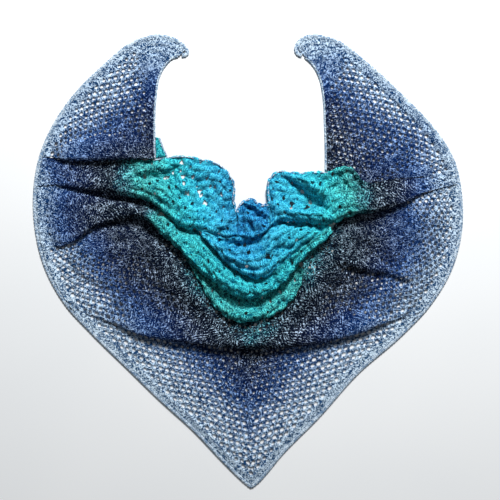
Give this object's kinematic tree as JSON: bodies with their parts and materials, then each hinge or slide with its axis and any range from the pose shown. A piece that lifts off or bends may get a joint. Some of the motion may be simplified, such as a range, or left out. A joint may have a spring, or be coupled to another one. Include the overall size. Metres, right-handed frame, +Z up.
{
  "type": "crocheted triangular shawl, laid out with folds",
  "caption": "Triangular crocheted shawl in gradient yarn, laid on a table with its point flat, both wings turned up and the middle bunched into folds",
  "frame": {"origin": "centre of the bounding box on the table the shawl lies on", "axes": "+Y runs from the bottom point to the neck side, +X to the right seen from above, +Z up off the table"},
  "size_m": [0.5505, 0.5808, 0.02],
  "materials": {
    "pale_net": "crocheted net in marled pale blue-grey wool and cotton yarn",
    "navy_net": "crocheted net in marled slate and navy yarn",
    "dark_net": "crocheted net in marled black and navy yarn",
    "teal_shells": "crocheted shell stitch in marled teal yarn",
    "blue_shells": "crocheted shell stitch in marled turquoise and blue yarn",
    "pale_edging": "dense crocheted border in pale blue-grey yarn"
  },
  "bodies": {
    "root": {"point_panel": "pale_net", "main_sweep": "dark_net", "garland_fold": "teal_shells", "band_fold": "teal_shells", "inner_fold": "blue_shells", "left_lobe": "teal_shells", "crumple_lobe": "blue_shells", "right_lobe": "teal_shells", "left_wing": "navy_net", "right_wing": "navy_net", "edging": "pale_edging", "neck_edging_left": "pale_edging", "neck_edging_right": "pale_edging", "neck_sliver": "teal_shells"}
  },
  "joints": []
}
